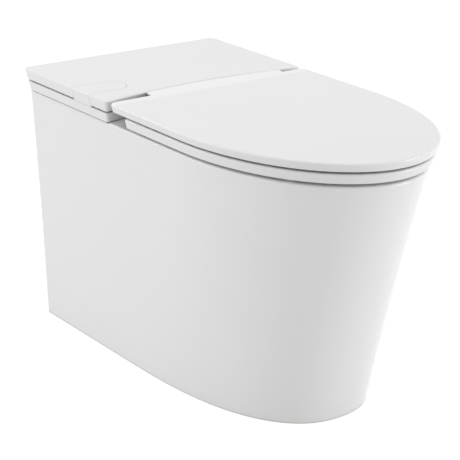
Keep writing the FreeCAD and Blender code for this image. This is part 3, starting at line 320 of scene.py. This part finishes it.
gasket_shade_edge = bpy.data.objects.new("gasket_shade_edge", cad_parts["deck_gasket"].data.copy())
bpy.context.collection.objects.link(gasket_shade_edge)
pick(gasket_shade_edge)
bpy.ops.object.mode_set(mode="EDIT")
bpy.ops.mesh.select_all(action="SELECT")
bpy.ops.mesh.remove_doubles(threshold=merge_gap)
choose(gasket_shade_edge, "FACE", lambda face: abs(face.normal.z) > facing)
bpy.ops.mesh.delete(type="FACE")
bpy.ops.mesh.separate(type="LOOSE")
bpy.ops.object.mode_set(mode="OBJECT")
walls = sorted(bpy.context.selected_objects, key=lambda wall: wall.dimensions.x)
gasket_shade_edge = walls.pop()
for wall in walls:
    bpy.data.objects.remove(wall)
pick(gasket_shade_edge)
choose(gasket_shade_edge, "VERT", lambda vertex: vertex.co.z < gasket_middle)
bpy.ops.mesh.delete(type="VERT")
choose(gasket_shade_edge, "VERT", lambda vertex: vertex.co.y < gasket_front)
bpy.ops.transform.translate(value=(0.0, front_set_back, 0.0))
bpy.ops.mesh.select_all(action="SELECT")
bpy.ops.mesh.extrude_region_move(TRANSFORM_OT_translate={"value": (0.0, 0.0, -gasket_height)})
bpy.ops.mesh.select_all(action="SELECT")
bpy.ops.mesh.normals_make_consistent(inside=False)
bpy.ops.object.mode_set(mode="OBJECT")
bulge = gasket_shade_edge.modifiers.new("bulge", "SOLIDIFY")
bulge.thickness = foam_shade_bulge
bulge.offset = 1.0
bulge.use_even_offset = True
bpy.ops.object.modifier_apply(modifier="bulge")
soften(gasket_shade_edge, width=foam_edge_round, segments=2)
fit(gasket_shade_edge, "gasket_shade_edge", foam, "foam", "pan")

steel = Finish("bright_steel", (0.62, 0.62, 0.63), drift=0.12, patch=90.0,
               sheen=0.3, sheen_drift=0.12, grain=2500.0, relief=0.08)
steel.set(Metallic=1.0)
steel.dress("deck_washers", "deck_nuts")

bolt_steel = Finish("bolt_steel", (0.60, 0.60, 0.61), drift=0.12, patch=120.0,
                    sheen=0.32, sheen_drift=0.12, grain=2500.0, relief=0.08)
bolt_steel.set(Metallic=1.0)
bolt_steel.emboss(bolt_steel.ribs("Z", pitch=0.00125), strength=0.5, depth=0.0006)
bolt_steel.dress("deck_bolts")


# Flush works: a plastic manifold with two coils and their steel cores, an air inlet
# valve, and a turned brass supply stub with a rolled thread and a steel strainer.
# Rubber hoses with steel bands lead to the rim's nozzle and to the jet in the sump.

valve_plastic = Finish("valve_plastic", (0.76, 0.76, 0.73), drift=0.05, patch=30.0,
                       sheen=0.45, sheen_drift=0.05, grain=1200.0, relief=0.1)
valve_plastic.emboss(valve_plastic.pits(scale=900.0, size=0.35), strength=0.12, depth=0.0002)
valve_plastic.dress("valve_manifold", "vacuum_breaker", "rim_nozzle", "jet_nozzle")

coil_plastic = Finish("coil_plastic", (0.02, 0.02, 0.022), drift=0.15, patch=40.0,
                      sheen=0.42, sheen_drift=0.06, grain=1500.0, relief=0.1)
coil_plastic.emboss(coil_plastic.ribs("Z", pitch=0.0018), strength=0.12, depth=0.0003)
coil_plastic.dress("rim_solenoid", "jet_solenoid")
steel.dress("rim_armature", "jet_armature", "hose_clamps")

mesh_steel = Finish("strainer_mesh", (0.55, 0.55, 0.56), drift=0.1, patch=200.0,
                    sheen=0.35, sheen_drift=0.1, grain=2500.0, relief=0.1)
mesh_steel.set(Metallic=1.0)
strainer_holes_and_shade = mesh_steel.pits(scale=1300.0, size=0.32)
# The holes are pressed in and painted near-black: painted shade for the dark seen through the mesh.
mesh_steel.overlay(strainer_holes_and_shade, colour=(0.05, 0.05, 0.05), roughness=0.8)
mesh_steel.emboss(strainer_holes_and_shade, strength=-0.8, depth=0.0005)
mesh_steel.dress("inlet_strainer")

hose_rubber = Finish("hose_rubber", (0.022, 0.022, 0.024), drift=0.2, patch=40.0,
                     sheen=0.62, sheen_drift=0.08, grain=700.0, relief=0.25)
braid_turn = 0.785
for turn in (braid_turn, -braid_turn):
    hose_rubber.emboss(hose_rubber.ribs("X", pitch=0.0022, turn=turn), strength=0.25, depth=0.0004)
hose_rubber.dress("rim_hose", "jet_hose")

brass = Finish("turned_brass", (0.66, 0.47, 0.19), drift=0.1, patch=60.0,
               sheen=0.28, sheen_drift=0.1, grain=2200.0, relief=0.08)
brass.set(Metallic=1.0)
brass.emboss(brass.ribs("Y", pitch=0.0004), strength=0.12, depth=0.0001)


def start_cylinder(sides, radius, depth, middle, turn=(0.0, 0.0, 0.0)):
    """Start a round piece from a cylinder, with its place in its mesh."""
    bpy.ops.object.select_all(action="DESELECT")
    bpy.ops.mesh.primitive_cylinder_add(vertices=sides, radius=radius, depth=depth,
                                        location=middle, rotation=turn)
    bpy.ops.object.transform_apply(location=True, rotation=True, scale=True)
    return bpy.context.object


hexagon = 6
small_round = 48
fine_round = 64
along_y = (math.pi / 2, 0.0, 0.0)
stub_x = -0.090
stub_z = 0.360
stub_middle = (stub_x, 0.310, stub_z)
stub_radius = 0.0096
stub_length = 0.066
stub_wall = 0.0026
stub = start_cylinder(fine_round, stub_radius, stub_length, stub_middle, along_y)
choose(stub, "FACE", lambda face: abs(face.normal.y) > facing)
bpy.ops.mesh.inset(thickness=stub_wall, use_individual=True)
bpy.ops.mesh.bridge_edge_loops()
bpy.ops.object.mode_set(mode="OBJECT")
soften(stub, width=0.0006, segments=2)

collar_middle = (stub_x, 0.324, stub_z)
collar_radius = 0.015
collar_length = 0.008
collar_border = 0.0012
collar_recess = 0.86
collar = start_cylinder(hexagon, collar_radius, collar_length, collar_middle, along_y)
choose(collar, "FACE", lambda face: abs(face.normal.y) > facing)
bpy.ops.mesh.inset(thickness=collar_border, use_individual=True)
bpy.ops.transform.resize(value=(1.0, collar_recess, 1.0), center_override=collar_middle)
bpy.ops.object.mode_set(mode="OBJECT")
soften(collar, width=0.0005, segments=2)

thread_start = (stub_x, 0.3293, stub_z)
thread_half_width = 0.00088
thread_pitch = 0.0018
thread_turns = 7
thread_steps = 48
profile_sides = 4
bpy.ops.object.select_all(action="DESELECT")
bpy.ops.mesh.primitive_circle_add(vertices=profile_sides, radius=thread_half_width, rotation=along_y)
thread = bpy.context.object
bpy.ops.object.transform_apply(location=False, rotation=True, scale=False)
bpy.ops.object.mode_set(mode="EDIT")
bpy.ops.mesh.select_all(action="SELECT")
bpy.ops.transform.translate(value=(stub_radius, 0.0, 0.0))
bpy.ops.object.mode_set(mode="OBJECT")
turns = thread.modifiers.new("turns", "SCREW")
turns.axis = "Z"
turns.screw_offset = thread_pitch
turns.iterations = thread_turns
turns.steps = thread_steps
turns.render_steps = thread_steps
bpy.ops.object.modifier_apply(modifier="turns")
thread.rotation_euler = (-math.pi / 2, 0.0, 0.0)
thread.location = thread_start
bpy.ops.object.transform_apply(location=True, rotation=True, scale=True)
bpy.ops.object.mode_set(mode="EDIT")
bpy.ops.mesh.select_all(action="SELECT")
bpy.ops.mesh.remove_doubles(threshold=merge_gap)
bpy.ops.mesh.fill_holes(sides=profile_sides)
bpy.ops.mesh.normals_make_consistent(inside=False)
bpy.ops.object.mode_set(mode="OBJECT")

pick(stub, collar, thread)
bpy.ops.object.join()
fit(stub, "supply_stub", brass, "brass", "pan", "inlet_fitting")


# Control unit: a grey moulded box and lid held by four screws, round a circuit board on
# pegs. A ribbed gland in the well's rear wall takes the supply lead.

box_plastic = Finish("box_plastic", (0.16, 0.165, 0.175), drift=0.08, patch=40.0,
                     sheen=0.55, sheen_drift=0.05, grain=1400.0, relief=0.2)
box_plastic.emboss(box_plastic.pits(scale=1200.0, size=0.45), strength=0.2, depth=0.0002)
box_plastic.dress("control_box", "control_lid")
steel.dress("control_screws")

board = Finish("circuit_board", (0.012, 0.1, 0.035), drift=0.3, patch=300.0,
               sheen=0.35, sheen_drift=0.1, grain=2000.0, relief=0.1)
tracks = board.tree.nodes.new("ShaderNodeTexBrick")
bare_board = (0.0, 0.0, 0.0, 1.0)
track = (1.0, 1.0, 1.0, 1.0)
tracks.inputs["Color1"].default_value = bare_board
tracks.inputs["Color2"].default_value = bare_board
tracks.inputs["Mortar"].default_value = track
tracks.inputs["Scale"].default_value = 90.0
tracks.inputs["Mortar Size"].default_value = 0.04
board.join(board.place, tracks.inputs["Vector"])
board.overlay(tracks.outputs["Color"], colour=(0.02, 0.2, 0.07))
solder = board.pits(scale=260.0, size=0.2)
board.overlay(solder, colour=(0.62, 0.6, 0.55), roughness=0.25)
board.dress("circuit_board")

gland_x = 0.074
gland_z = 0.366
gland_middle = (gland_x, 0.318, gland_z)
gland_radius = 0.0088
gland_length = 0.028
gland_wall = 0.0048
gland_bore = 0.022
gland = start_cylinder(small_round, gland_radius, gland_length, gland_middle, along_y)
choose(gland, "FACE", lambda face: face.normal.y > facing)
bpy.ops.mesh.inset(thickness=gland_wall)
bpy.ops.mesh.extrude_region_move(TRANSFORM_OT_translate={"value": (0.0, -gland_bore, 0.0)})
bpy.ops.object.mode_set(mode="OBJECT")
soften(gland, width=0.0009, segments=3)

grip_middle = (gland_x, 0.3228, gland_z)
grip_radius = 0.012
grip_width = 0.005
grip_groove = 0.93
groove_border = 0.0003
groove_turn = 30.0
grip = start_cylinder(small_round, grip_radius, grip_width, grip_middle, along_y)
choose(grip, "FACE", lambda face: abs(face.normal.y) < 1.0 - facing and math.degrees(
    math.atan2(face.normal.z, face.normal.x)) % groove_turn > groove_turn / 2)
bpy.ops.mesh.inset(thickness=groove_border)
bpy.ops.transform.resize(value=(grip_groove, 1.0, grip_groove), center_override=grip_middle)
bpy.ops.object.mode_set(mode="OBJECT")
soften(grip, width=0.0004, segments=2)

pick(gland, grip)
bpy.ops.object.join()
fit(gland, "lead_gland", box_plastic, "box_plastic", "pan", "power_inlet")


# Deck cover: the upper tier, a shallow white moulding that pulls off. Its steel studs
# push into rubber grommets in the deck base's posts.

deck_plastic.dress("deck_cover")
steel.dress("cover_studs")

rubber = Finish("pale_rubber", (0.60, 0.60, 0.58), drift=0.05, patch=60.0,
                sheen=0.7, sheen_drift=0.06, grain=1200.0, relief=0.15)
rubber.emboss(rubber.pits(scale=1600.0, size=0.4), strength=0.15, depth=0.0002)
rubber.dress("cover_grommets")


# Flush tongue: a white moulded lever let into the cover's left side. It turns on a steel
# pin, is lifted by a bent leaf spring, and presses the button of a small switch.

deck_plastic.dress("flush_tongue")
steel.dress("tongue_pin")

leaf_foot = (-0.152, 0.168, 0.4154)
leaf_width = 0.010
leaf_thickness = 0.0008
leaf_bend_x = -0.156
leaf_run = [(-0.0060, 0.0), (-0.0014, 0.0004), (-0.0005, 0.0010), (0.0003, 0.0012), (0.0176, 0.0270)]
bpy.ops.object.select_all(action="DESELECT")
bpy.ops.mesh.primitive_plane_add(size=leaf_width, location=leaf_foot)
leaf = bpy.context.object
bpy.ops.object.transform_apply(location=True, rotation=True, scale=True)
choose(leaf, "VERT", lambda vertex: vertex.co.x < leaf_bend_x)
for out, up in leaf_run:
    bpy.ops.mesh.extrude_region_move(TRANSFORM_OT_translate={"value": (out, 0.0, up)})
bpy.ops.object.mode_set(mode="OBJECT")
strip = leaf.modifiers.new("strip", "SOLIDIFY")
strip.thickness = leaf_thickness
strip.offset = 0.0
bpy.ops.object.modifier_apply(modifier="strip")
soften(leaf, width=0.00015, segments=2)
fit(leaf, "leaf_spring", steel, "steel", "pan", "tongue_spring")
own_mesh(leaf)
coil_plastic.dress("flush_switch")

button_red = Finish("button_red", (0.42, 0.03, 0.02), drift=0.06, patch=200.0,
                    sheen=0.45, sheen_drift=0.05, grain=2500.0, relief=0.1)
button_red.dress("switch_plunger")


# Hinge: two moulded posts held down through the china by steel socket bolts, with rubber
# washers and plastic nuts below. A steel shaft runs through the posts, with an oil damper
# and a bush in each pair of knuckles.

hinge_plastic = Finish("hinge_plastic", (0.72, 0.72, 0.71), drift=0.04, patch=50.0,
                       sheen=0.42, sheen_drift=0.06, grain=1400.0, relief=0.12)
hinge_plastic.emboss(hinge_plastic.pits(scale=1000.0, size=0.4), strength=0.12, depth=0.0002)
hinge_plastic.dress("hinge_posts", "hinge_nuts")
steel.dress("hinge_shaft")
rubber.dress("hinge_washers")

damper_plastic = Finish("damper_plastic", (0.1, 0.105, 0.115), drift=0.08, patch=60.0,
                        sheen=0.45, sheen_drift=0.06, grain=1500.0, relief=0.12)
damper_plastic.emboss(damper_plastic.pits(scale=1000.0, size=0.4), strength=0.12, depth=0.0002)
damper_plastic.dress("lid_damper", "lid_bush", "seat_damper", "seat_bush")


def copy_to(piece, shift):
    """Copy a piece, with a mesh of its own, to another place."""
    pick(piece)
    bpy.ops.object.duplicate()
    bpy.ops.transform.translate(value=shift)
    bpy.ops.object.transform_apply(location=True, rotation=False, scale=False)
    return bpy.context.object


bolt_x = 0.070
bolt_y = 0.0845
head_z = 0.4215
head_radius = 0.007
head_height = 0.005
head_overhang = 0.003
shank_length = 0.054
socket_z = 0.424
socket_radius = 0.0036
socket_depth = 0.006
bolt = start_cylinder(small_round, head_radius, head_height, (-bolt_x, bolt_y, head_z))
choose(bolt, "FACE", lambda face: face.normal.z < -facing)
bpy.ops.mesh.inset(thickness=head_overhang)
bpy.ops.mesh.extrude_region_move(TRANSFORM_OT_translate={"value": (0.0, 0.0, -shank_length)})
bpy.ops.object.mode_set(mode="OBJECT")
socket = start_cylinder(hexagon, socket_radius, socket_depth, (-bolt_x, bolt_y, socket_z))
pick(bolt)
drive = bolt.modifiers.new("drive", "BOOLEAN")
drive.object = socket
bpy.ops.object.modifier_apply(modifier="drive")
bpy.data.objects.remove(socket)
soften(bolt, width=0.0006, segments=3)
twin = copy_to(bolt, (2.0 * bolt_x, 0.0, 0.0))
fit(bolt, "hinge_bolt_left", bolt_steel, "steel", "pan", "hinge_bolts")
fit(twin, "hinge_bolt_right", bolt_steel, "steel", "pan", "hinge_bolts")


# Seat: an elongated ring pressed from hard white plastic, with two hinge arms.
# Four rubber push-in buttons under it rest on the rim.

seat_white = (0.80, 0.80, 0.80)
seat_plastic = Finish("seat_plastic", seat_white, drift=0.02, patch=6.0,
                      sheen=0.24, sheen_drift=0.05, grain=700.0, relief=0.03)
seat_plastic.dress("seat")

button_radius = 0.008
button_border = 0.0048
dimple_depth = 0.0012


def push_in_button(low, high, place):
    """Round rubber button with a softened rim and a dimple in its resting face."""
    button = start_cylinder(small_round, button_radius, high - low, (*place, (low + high) / 2))
    choose(button, "FACE", lambda face: face.normal.z < -facing)
    bpy.ops.mesh.inset(thickness=button_border)
    bpy.ops.mesh.extrude_region_move(TRANSFORM_OT_translate={"value": (0.0, 0.0, dimple_depth)})
    bpy.ops.object.mode_set(mode="OBJECT")
    soften(button, width=0.0005, segments=3)
    return button


def button_set(name, low, high, places, body, node):
    """Four like buttons on a body, in the places of a CAD node."""
    first_x, first_y = places[0]
    first = push_in_button(low, high, places[0])
    copies = [copy_to(first, (x - first_x, y - first_y, 0.0)) for x, y in places[1:]]
    for number, button in enumerate([first] + copies, 1):
        fit(button, f"{name}_{number}", rubber, "soft_rubber", body, node)


seat_low, seat_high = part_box("seat_bumpers")
seat_places = [(-0.15475, 0.0284), (0.15475, 0.0284), (-0.12287, -0.24424), (0.12287, -0.24424)]
button_set("seat_button", seat_low[2], seat_high[2], seat_places, "seat", "seat_bumpers")


# Lid: a thin hollow panel of the same white plastic, with a hinge tongue along the deck.
# The tongue's top is glossier than the panel and painted whiter, a painted highlight for the light
# it catches. Four rubber buttons under the lid rest on the seat.

lid_plastic = Finish("lid_plastic", seat_white, drift=0.02, patch=6.0,
                     sheen=0.24, sheen_drift=0.05, grain=700.0, relief=0.03)
# Painted highlight: the tongue's top gets a whiter colour; its lower roughness is a real gloss.
behind_panel = lid_plastic.band("Y", start=0.084, end=0.089)
on_top = lid_plastic.band("Z", start=0.4475, end=0.4485)
tongue_painted_highlight = reckon(lid_plastic.tree, "MULTIPLY", behind_panel, on_top)
lid_plastic.overlay(tongue_painted_highlight, colour=(0.86, 0.86, 0.86), roughness=0.18)
lid_plastic.dress("lid")

lid_low, lid_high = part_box("lid_bumpers")
lid_places = [(-0.15475, 0.01988), (0.15475, 0.01988), (-0.13513, -0.21016), (0.13513, -0.21016)]
button_set("lid_button", lid_low[2], lid_high[2], lid_places, "lid", "lid_bumpers")


# Studio: a white floor that only takes the object's soft shadow, a white surround, and
# four large soft lamps: overhead, to the left, behind to the left, and in front to the right.

def seen_directly(tree):
    """1 for rays from the camera, off a gloss or through glass, and 0 for the rest."""
    path = tree.nodes.new("ShaderNodeLightPath").outputs
    direct = reckon(tree, "MAXIMUM", path["Is Camera Ray"], path["Is Glossy Ray"])
    return reckon(tree, "MAXIMUM", direct, path["Is Transmission Ray"])


floor_size = 40.0
floor_grey = (0.75, 0.75, 0.75, 1.0)
shadow_grey = (0.22, 0.22, 0.22, 1.0)
floor_glow = 0.86
bpy.ops.object.select_all(action="DESELECT")
bpy.ops.mesh.primitive_plane_add(size=floor_size, location=(0.0, 0.0, 0.0))
floor = bpy.context.object
floor.name = "studio_floor"
floor_paint = bpy.data.materials.new("floor_paint")
floor_paint.use_nodes = True
tree = floor_paint.node_tree
tree.nodes.clear()
output = tree.nodes.new("ShaderNodeOutputMaterial")
paint = tree.nodes.new("ShaderNodeBsdfDiffuse")
paint.inputs["Color"].default_value = floor_grey
veil = tree.nodes.new("ShaderNodeBsdfDiffuse")
veil.inputs["Color"].default_value = shadow_grey
glow = tree.nodes.new("ShaderNodeEmission")
glow.inputs["Strength"].default_value = floor_glow
white = tree.nodes.new("ShaderNodeAddShader")
tree.links.new(veil.outputs["BSDF"], white.inputs[0])
tree.links.new(glow.outputs["Emission"], white.inputs[1])
choice = tree.nodes.new("ShaderNodeMixShader")
tree.links.new(seen_directly(tree), choice.inputs["Fac"])
tree.links.new(paint.outputs["BSDF"], choice.inputs[1])
tree.links.new(white.outputs["Shader"], choice.inputs[2])
tree.links.new(choice.outputs["Shader"], output.inputs["Surface"])
floor.data.materials.append(floor_paint)

surround_light = 0.674
surround_white = 1.0
world = bpy.data.worlds.new("studio_world")
bpy.context.scene.world = world
world.use_nodes = True
tree = world.node_tree
backdrop = tree.nodes["Background"]
backdrop.inputs["Color"].default_value = (1.0, 1.0, 1.0, 1.0)
level = tree.nodes.new("ShaderNodeMapRange")
level.inputs["To Min"].default_value = surround_light
level.inputs["To Max"].default_value = surround_white
tree.links.new(seen_directly(tree), level.inputs["Value"])
tree.links.new(level.outputs["Result"], backdrop.inputs["Strength"])

lamps = [
    ("lamp_over", (0.0, 0.2, 3.2), (0.0, 0.0, 0.4), 2.4, 16.5),
    ("lamp_left", (-3.0, 0.6, 1.3), (0.0, 0.0, 0.25), 2.4, 14.0),
    ("lamp_behind", (-2.2, 2.2, 1.6), (0.0, 0.0, 0.3), 1.6, 18.8),
    ("lamp_right", (1.8, -2.2, 0.7), (0.0, 0.0, 0.25), 1.2, 24.9),
]
for name, place, aim, size, power in lamps:
    bpy.ops.object.light_add(type="AREA", location=place)
    lamp = bpy.context.object
    lamp.name = name
    lamp.data.size = size
    lamp.data.energy = power
    back_x, back_y, back_z = [p - a for p, a in zip(place, aim)]
    tilt = math.atan2(math.hypot(back_x, back_y), back_z)
    lamp.rotation_euler = (tilt, 0.0, math.atan2(back_x, -back_y))

bpy.context.scene.view_settings.view_transform = "Standard"


# Camera: a long lens, everywhere in focus, that stands front-left of the object and above it.
# Its place, turn and focal length give the photograph's viewing angle and framing.

camera_place = (-1.5106, -1.8332, 1.1261)
camera_turn = (69.3433, -1.6266, -38.2460)
bpy.ops.object.camera_add(location=camera_place)
camera = bpy.context.object
camera.rotation_euler = tuple(math.radians(angle) for angle in camera_turn)
camera.data.lens = 123.24
camera.data.sensor_width = 36.0
camera.data.clip_end = 100.0
bpy.context.scene.camera = camera
